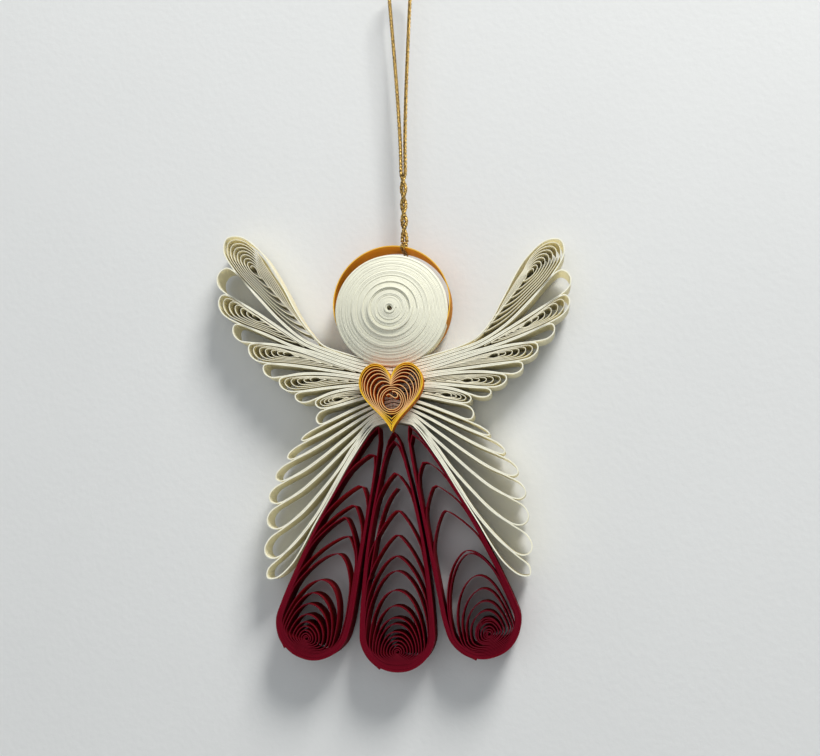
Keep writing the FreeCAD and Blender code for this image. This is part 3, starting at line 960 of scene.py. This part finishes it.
def free_end(drawing: Drawing) -> Strip:
    """Loose end of the middle coil's strip, kinked away from its left flank."""
    places = np.array(
        [(-6.0, -32.0), (-5.0, -26.5), (-3.9, -21.5), (-2.6, -17.2), (-1.1, -14.0), (0.5, -12.0)]
    )
    line = drawing.row(smooth_line(places * MM, 0.2 * MM))
    return Strip(line, 0.19 * MM, drawing.front + 0.12 * MM, drawing.back, 0.5)


# Heart


@dataclass
class Heart:
    """A coil pinched at its tip and pressed in at its notch, about a round eye.

    A turn's distance from the eye runs, at each bearing, from the heart's own edge to
    the small round coil inside it.
    """

    drawing: Drawing
    paper: float = 0.16 * MM
    eye: tuple[float, float] = (0.25, 7.4)
    coil_radius: float = 3.1 * MM
    heart_turns: float = 8.0
    round_turns: float = 2.5
    around: int = 220

    def edge(self) -> Array:
        """The heart's plan edge, sized by the CAD node's box: the classic heart formula."""
        low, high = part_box("heart_coil")
        angle = np.linspace(0, 2 * np.pi, 1440, endpoint=False)
        out = (high[0] - low[0]) / 2 * np.sin(angle) ** 3
        up = 13 * np.cos(angle) - 5 * np.cos(2 * angle) - 2 * np.cos(3 * angle) - np.cos(4 * angle)
        up = (up - up.min()) / (up.max() - up.min()) * (high[2] - low[2])
        return np.stack([out, up], axis=1)

    def spiral(self) -> tuple[Array, Array]:
        """The strip's plan line and its tone, from the outer end to the eye's curl."""
        eye = np.array(self.eye) * MM
        reach = self.edge() - eye
        bearing = np.arctan2(reach[:, 1], reach[:, 0])
        order = np.argsort(bearing)
        turn = np.arange(0, self.heart_turns + self.round_turns, 1 / self.around)
        angle = -0.5 * np.pi + 2 * np.pi * turn
        wrapped = (angle + np.pi) % (2 * np.pi) - np.pi
        outer = np.interp(
            wrapped, bearing[order], np.linalg.norm(reach[order], axis=1), period=2 * np.pi
        )
        outer = outer - self.paper / 2
        done = np.clip(turn / self.heart_turns, 0, 1)
        tip = np.clip(-np.sin(wrapped), 0, 1) ** 6
        notch = np.clip(np.sin(wrapped), 0, 1) ** 12
        easing = 1.75 - 0.7 * notch + 0.9 * tip
        inside = self.coil_radius - 0.46 * MM * np.clip(turn - self.heart_turns, 0, None)
        distance = inside + (outer - inside) * (1 - done**easing)
        line = eye + distance[:, None] * np.stack([np.cos(wrapped), np.sin(wrapped)], axis=1)
        inward = smoothstep((line[:, 1] / MM - 3.0) / 3.0)
        return line, np.clip(turn / 1.5 - 1.2, 0, 1) * inward

    def curl(self, start: Array) -> Array:
        """Crook of the strip's free inner end, from the round coil through its middle."""
        places = np.array(
            [[1.25, 9.05], [1.55, 8.25], [1.05, 7.85], [0.25, 8.3], [-0.45, 8.75], [-1.05, 8.45]]
        )
        return smooth_line(np.vstack([start, places * MM]), 0.15 * MM)

    def build(self, finish: Material) -> None:
        """Make the heart's piece and dress it."""
        low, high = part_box("heart_coil")
        line, tone = self.spiral()
        curl = self.curl(line[-1])
        line = np.vstack([line, curl[1:]])
        tone = np.concatenate([tone, np.ones(len(curl) - 1)])
        wave = 0.05 * MM * np.sin(np.arange(len(line)) * 0.021)
        strip = Strip(self.drawing.row(line), self.paper, low[1] + 0.06 * MM + wave, high[1], tone)
        dress(strips_object("heart_coil_strip", [strip]), finish, Slot.GOLD, "heart_coil")


# Head and halo


def on_circles(
    middle: tuple[float, float], reach: Array, angle: Array
) -> Array:
    """Row (x, z) points at some distances and angles from a middle."""
    out, up = reach * np.cos(angle), reach * np.sin(angle)
    return np.stack([middle[0] + out, middle[1] + up], axis=1)


@dataclass
class HeadAndHalo:
    """A tight coil pushed into a shallow dome, inside a ring of wider strip."""

    paper: float = 0.3 * MM
    eyelet: float = 0.46 * MM
    around: int = 150
    drop: float = 1.5 * MM
    rise: float = 2.75 * MM
    ahead: float = 0.3 * MM
    strip_width: float = 3.2 * MM
    lap: float = 0.12
    proud: tuple[tuple[float, float], ...] = (
        (1.1, 0.22), (3.6, 0.12), (4.9, 0.34), (6.4, 0.14), (8.7, 0.16), (10.9, 0.08)
    )

    def head_strip(self) -> Strip:
        """The head's strip: an even spiral whose edge follows the dome, turn by turn."""
        low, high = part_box("head_coil")
        x, z = middle_of("head_coil")
        radius = (high[0] - low[0]) / 2
        turns = (radius - self.eyelet) / self.paper
        turn = np.arange(0, turns, 1 / self.around)
        reach = self.eyelet + self.paper * (turn + 0.5)
        reach = np.minimum(reach, radius - self.paper / 2)
        angle = 2 * np.pi * turn
        line = on_circles((x, z - self.drop), reach, angle)
        share = reach / radius
        forward = self.rise * (1 - share**1.8)
        lift = np.zeros_like(reach)
        for place, height in self.proud:
            lift += height * MM * np.exp(-(((reach / MM - place) / 0.32) ** 2))
        own = np.floor(turn)
        lift += 0.05 * MM * np.sin(own * 2.4) + 0.03 * MM * np.sin(own * 5.1)
        front = low[1] - self.ahead - forward - lift
        slope = self.rise * 1.8 * share**0.8 / radius
        return Strip(line, self.paper * 0.97, front, front + self.strip_width, 0.0, slope)

    def halo_strip(self) -> Strip:
        """The halo's strip: a ring with a small overlap where its end is glued."""
        low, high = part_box("halo_ring")
        middle = middle_of("halo_ring")
        outer = (high[0] - low[0]) / 2
        angle = np.linspace(-0.5 * np.pi - self.lap, 1.5 * np.pi + self.lap, 420)
        lapped = smoothstep((angle - 1.5 * np.pi + self.lap) / 0.2)
        reach = outer - 0.5 * self.paper - 0.02 * MM * lapped
        line = on_circles(middle, reach, angle)
        return Strip(line, self.paper * 0.9, low[1], high[1], 0.0)

    def build(self, white: Material, gold: Material) -> None:
        """Make the two pieces and dress them."""
        dress(strips_object("head_coil_strip", [self.head_strip()]), white, Slot.WHITE, "head_coil")
        dress(strips_object("halo_strip", [self.halo_strip()]), gold, Slot.GOLD, "halo_ring")


# Cord


@dataclass
class HangingCord:
    """A loop of twisted metallic cord, with its knot and its pass round the halo."""

    finish: Material
    diameter: float = 0.9 * MM
    plies: int = 3
    lay: float = 2.9 * MM
    around: int = 8
    ply_share: float = 0.27
    throw_share: float = 0.245

    # The right strand in millimetres: its foot, one turn round the other strand and the
    # height of that turn's first point, and its way to the crest over the hook
    FOOT = ((0.5, 0.0, -66.85), (0.5, 0.0, -66.0))
    TURN = (
        (0.36, 0.36), (0.0, 0.52), (-0.36, 0.36), (-0.52, 0.0),
        (-0.36, -0.36), (0.0, -0.52), (0.36, -0.36), (0.52, 0.0),
    )
    TURNS = 2
    TURNS_FROM = -65.0
    FREE = (
        (0.52, 0.0, -46.5), (0.56, 0.0, -42.0), (1.0, 0.0, -31.0), (1.75, 0.0, -18.0),
        (2.4, 0.0, -8.0), (2.68, 0.0, -3.5), (2.7, 0.0, -1.2), (1.75, 0.0, 0.44),
    )

    def strand(self) -> list[tuple[float, float, float]]:
        """Control points from the right strand's foot to the crest over the hook."""
        turns = enumerate(self.TURN * self.TURNS)
        return [*self.FOOT, *((x, y, self.TURNS_FROM + step) for step, (x, y) in turns), *self.FREE]

    def route(self) -> Array:
        """Points of the route's NURBS line: the left strand is the right turned half round."""
        data = bpy.data.curves.new("cord_route", "CURVE")
        data.dimensions = "3D"
        spline = data.splines.new("NURBS")
        strand = self.strand()
        places = [*strand, *((-x, -y, z) for x, y, z in reversed(strand))]
        spline.points.add(len(places) - 1)
        for point, (x, y, z) in zip(spline.points, places):
            point.co = (x * MM, y * MM, z * MM, 1.0)
        spline.order_u = 3
        spline.use_endpoint_u = True
        spline.resolution_u = 24
        holder = linked("cord_route", data)
        mesh = bpy.data.meshes.new_from_object(holder)
        points = np.array([vertex.co[:] for vertex in mesh.vertices])
        bpy.data.objects.remove(holder)
        bpy.data.meshes.remove(mesh)
        return resample(points, 0.12 * MM)

    def twisted(self, line: Array, diameter: float, lay: float) -> list[Array]:
        """Plies of a twisted cord: circles carried along helices about a line.

        Args:
            line: Middle of the cord, evenly spaced points in space.
            diameter: The cord's diameter.
            lay: Length of one full twist.

        Returns:
            Vertices of each ply.
        """
        ways = unit_rows(np.gradient(line, axis=0))
        side = np.cross(ways, [[0.0, 1.0, 0.0]])
        weak = np.linalg.norm(side, axis=1) < 0.3
        side[weak] = np.cross(ways[weak], [[1.0, 0.0, 0.0]])
        side = unit_rows(side)
        other = np.cross(side, ways)
        radius = diameter * self.ply_share
        throw = diameter * self.throw_share
        along = lengths_along(line)
        plies = []
        for ply in range(self.plies):
            angle = 2 * np.pi * (np.abs(along - along[-1] / 2) / lay + ply / self.plies)
            helix = line + throw * (np.cos(angle)[:, None] * side + np.sin(angle)[:, None] * other)
            plies.append(tube_surface(helix, radius, self.around))
        return plies

    def cord_object(
        self, name: str, parts: list[tuple[Array, float, float]]
    ) -> Object:
        """One object of twisted cords along lines.

        Args:
            name: The object's name.
            parts: Line, diameter and lay of each cord.

        Returns:
            The linked object.
        """
        plies = [ply for part in parts for ply in self.twisted(*part)]
        mesh = swept_mesh(name, plies, self.around)
        face_outward(mesh)
        return linked(name, mesh)

    def hitch_lines(self) -> list[tuple[Array, float, float]]:
        """Two passes of thin cord round the halo's strip, and the knot's wraps above it."""
        low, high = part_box("cord_hitch")
        halo_low, halo_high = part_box("halo_ring")
        x, z = middle_of("halo_ring")
        middle = np.array([x, 0.0, z])
        outer = (halo_high[0] - halo_low[0]) / 2
        way = np.array([0.0, 0.0, low[2] + 1.0 * MM]) - middle
        way[0] = -middle[0]
        way /= np.linalg.norm(way)
        sideways = np.array([way[2], 0.0, -way[0]])
        depth = high[1] - 0.25 * MM
        angle = np.linspace(0, 2 * np.pi, 120)
        flat_y = np.clip(1.6 * np.cos(angle), -1, 1) * depth
        flat_r = np.clip(1.6 * np.sin(angle), -1, 1) * 0.32 * MM
        parts = []
        for shift in (-0.33 * MM, 0.33 * MM):
            line = (
                middle
                + (outer - 0.15 * MM + flat_r)[:, None] * way
                + flat_y[:, None] * np.array([0.0, 1.0, 0.0])
                + shift * sideways
            )
            parts.append((resample(line, 0.1 * MM), 0.46 * MM, 1.3 * MM))
        foot, crown = high[2] - 1.75 * MM, high[2] - 0.2 * MM
        turn = np.linspace(0, 3.0, 160)
        wrap = np.stack(
            [
                0.5 * MM * np.cos(2 * np.pi * turn),
                0.5 * MM * np.sin(2 * np.pi * turn),
                foot + (crown - foot) * turn / 3.0 + 0.12 * MM * np.sin(2 * np.pi * turn),
            ],
            axis=1,
        )
        parts.append((wrap, 0.62 * MM, 1.6 * MM))
        return parts

    def build(self) -> None:
        hitch = self.cord_object("cord_hitch_wraps", self.hitch_lines())
        dress(hitch, self.finish, Slot.CORD, "cord_hitch")
        route = self.route()
        loop = self.cord_object("hanging_cord_plies", [(route, self.diameter, self.lay)])
        dress(loop, self.finish, Slot.CORD, "hanging_cord")


# Camera, wall and light


@dataclass(frozen=True)
class Photographer:
    """The camera of the photograph: its place, and where lines into the wall meet.

    Args:
        focal: Focal length in pixels.
        frame: Width and height of the picture in pixels.
        meeting: Pixel at which lines straight into the wall meet.
        roll: Lean of the upright to the left, in degrees.
        foot: Plan place that the camera stands straight in front of, in millimetres.
        distance: From the strips' front edges to the camera, in millimetres.
    """

    focal: float = 1000.0
    frame: tuple[int, int] = (820, 756)
    meeting: tuple[float, float] = (540.0, 535.0)
    roll: float = 2.32
    foot: tuple[float, float] = (31.79, -23.02)
    distance: float = 222.0

    def shoot(self, drawing: Drawing) -> None:
        """Create the scene's camera.

        Args:
            drawing: The ornament's plan.
        """
        wide, high = self.frame
        ahead = np.array(
            [
                (self.meeting[0] - wide / 2) / self.focal,
                -(self.meeting[1] - high / 2) / self.focal,
                -1.0,
            ]
        )
        ahead /= np.linalg.norm(ahead)
        lean = math.radians(self.roll)
        upright = np.array([-math.sin(lean), math.cos(lean), 0.0])
        upright -= ahead * upright.dot(ahead)
        upright /= np.linalg.norm(upright)
        aside = np.cross(ahead, upright)
        turn = Matrix([list(aside), list(ahead), list(upright)])
        data = bpy.data.cameras.new("camera")
        data.sensor_width = 36.0
        data.lens = self.focal / wide * data.sensor_width
        data.clip_start, data.clip_end = 0.005, 20.0
        camera = linked("camera", data)
        x, z = drawing.point(*self.foot)
        place = Matrix.Translation(Vector((x, drawing.front - self.distance * MM, z)))
        camera.matrix_world = place @ turn.to_4x4()
        bpy.context.scene.camera = camera


@dataclass(frozen=True)
class Studio:
    """A pale wall close behind the ornament, a pale floor far below, and soft light.

    Args:
        wall_gap: From the strips' back edges to the wall.
        wall: Colour of the wall.
        reach: Half the width of the wall and the floor.
        floor_below: From the heart's tip down to the floor.
        wall_above: From the heart's tip up to the wall's top.
    """

    wall_gap: float = 1.5 * MM
    wall: Colour = (0.80, 0.81, 0.81)
    reach: float = 3.0
    floor_below: float = 0.9
    wall_above: float = 2.2

    def wall_material(self) -> Material:
        """Painted wall: faint mottle and fine stipple, clear when seen from behind."""
        made, tree = empty_material("painted wall")
        place = node_at(tree, "TexCoord")
        cloud = node_at(tree, "TexNoise", Scale=14.0, Detail=3.0)
        darker = tuple(part * 0.96 for part in self.wall)
        lighter = tuple(min(part * 1.03, 1.0) for part in self.wall)
        mottled = blend(tree, darker, lighter)
        grain = node_at(tree, "TexNoise", Scale=700.0, Detail=3.0)
        bump = node_at(tree, "Bump", Strength=0.12, Distance=0.0004)
        shader = node_at(tree, "BsdfPrincipled", Roughness=0.8)
        side = node_at(tree, "NewGeometry")
        clear = node_at(tree, "BsdfTransparent")
        one_sided = node_at(tree, "MixShader")
        output = node_at(tree, "OutputMaterial")
        join(
            tree,
            (place, "Object", cloud, "Vector"),
            (cloud, "Fac", mottled, MIX_SHARE),
            (mottled, MIX_RESULT, shader, "Base Color"),
            (place, "Object", grain, "Vector"),
            (grain, "Fac", bump, "Height"),
            (bump, "Normal", shader, "Normal"),
            (side, "Backfacing", one_sided, 0),
            (shader, 0, one_sided, 1),
            (clear, 0, one_sided, 2),
            (one_sided, 0, output, 0),
        )
        return made

    def plane(self, name: str, corners: list[tuple[float, float, float]]) -> Object:
        """One flat stage piece through four corners."""
        mesh = bpy.data.meshes.new(name)
        mesh.from_pydata(corners, [], [(0, 1, 2, 3)])
        made = linked(name, mesh)
        return made

    def lamp(
        self, name: str, place: Vector, aim: Vector, size: float, watts: float, tint: Colour
    ) -> None:
        """Add a square area lamp.

        Args:
            name: The lamp's name.
            place: Where it is.
            aim: The point that it faces.
            size: Its side.
            watts: Its power.
            tint: Its colour.
        """
        data = bpy.data.lights.new(name, "AREA")
        data.size = size
        data.energy = watts
        data.color = tint
        lamp = linked(name, data)
        lamp.location = place
        lamp.rotation_euler = (aim - place).to_track_quat("-Z", "Y").to_euler()

    def light(self, drawing: Drawing) -> None:
        """Set the wall, the floor, the lamps and the sky."""
        wall_y = drawing.back + self.wall_gap
        low, high = drawing.level - self.floor_below, drawing.level + self.wall_above
        far = self.reach
        finish = self.wall_material()
        left, right = (-far, wall_y, low), (far, wall_y, low)
        wall = self.plane("wall", [left, right, (far, wall_y, high), (-far, wall_y, high)])
        floor = self.plane("floor", [(-far, -far, low), (far, -far, low), right, left])
        for stage in (wall, floor):
            stage.data.materials.append(finish)
        x, z = drawing.point(0, 0)
        aim = Vector((x, 0, z))
        self.lamp("window", aim + Vector((0.38, -0.45, 0.83)), aim, 0.34, 11.0, (1.0, 0.99, 0.96))
        self.lamp("room", aim + Vector((-0.3, -0.9, 0.1)), aim, 0.9, 1.4, (0.95, 0.98, 1.0))
        world = bpy.data.worlds.new("sky")
        world.use_nodes = True
        ground = world.node_tree.nodes["Background"]
        ground.inputs["Color"].default_value = (0.93, 0.97, 1.0, 1.0)
        ground.inputs["Strength"].default_value = 0.27
        bpy.context.scene.world = world
        bpy.context.scene.view_settings.view_transform = "Standard"


# Tops of the gown's arches from the outside in, in millimetres on the plan
MIDDLE_TOPS = [
    (0.0, -1.28), (0.2, -8.46), (0.5, -16.77), (0.3, -22.26), (0.1, -26.95), (0.1, -30.21),
    (0.0, -34.41), (0.0, -37.74), (0.0, -40.30), (0.0, -41.58), (0.0, -43.28),
]
LEFT_TOPS = [
    (-4.73, -3.97), (-7.56, -11.04), (-9.21, -15.41), (-11.28, -18.16), (-10.65, -22.37),
    (-12.73, -26.28), (-15.85, -32.13), (-17.77, -34.92), (-18.60, -37.30), (-19.1, -39.6),
]
RIGHT_TOPS = [
    (3.52, 0.20), (6.68, -6.07), (8.88, -11.49), (10.97, -17.13), (15.35, -26.15), (15.9, -26.7),
    (17.38, -31.55), (18.38, -34.34), (18.73, -37.05), (19.10, -39.02), (19.45, -41.1),
]


def main() -> None:
    """Load the frame, set the camera, build each sub-assembly in order, and light the studio."""
    logging.basicConfig(level=logging.INFO, format="%(name)s %(message)s")
    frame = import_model()
    nodes = frame["nodes"]
    drawing = Drawing.from_frame()
    Photographer().shoot(drawing)
    HangingCord(GOLD_THREAD.material()).build()
    ivory = IVORY_PAPER.material()
    for side in Side:
        Wing(side, drawing, nodes, ivory).build()
    crimson = CRIMSON_PAPER.material()
    for name, eye, tops in (
        ("gown_middle_coil", (0.0, -47.62), MIDDLE_TOPS),
        ("gown_left_coil", (-20.26, -44.54), LEFT_TOPS),
        ("gown_right_coil", (20.02, -43.96), RIGHT_TOPS),
    ):
        loose = [free_end(drawing)] if name == "gown_middle_coil" else []
        GownCoil(name, drawing, nodes[name], eye, tops).build(crimson, loose)
    gold = GOLD_PAPER.material()
    Heart(drawing).build(HEART_PAPER.material())
    HeadAndHalo().build(WHITE_PAPER.material(), gold)
    Studio().light(drawing)


if __name__ == "__main__":
    main()
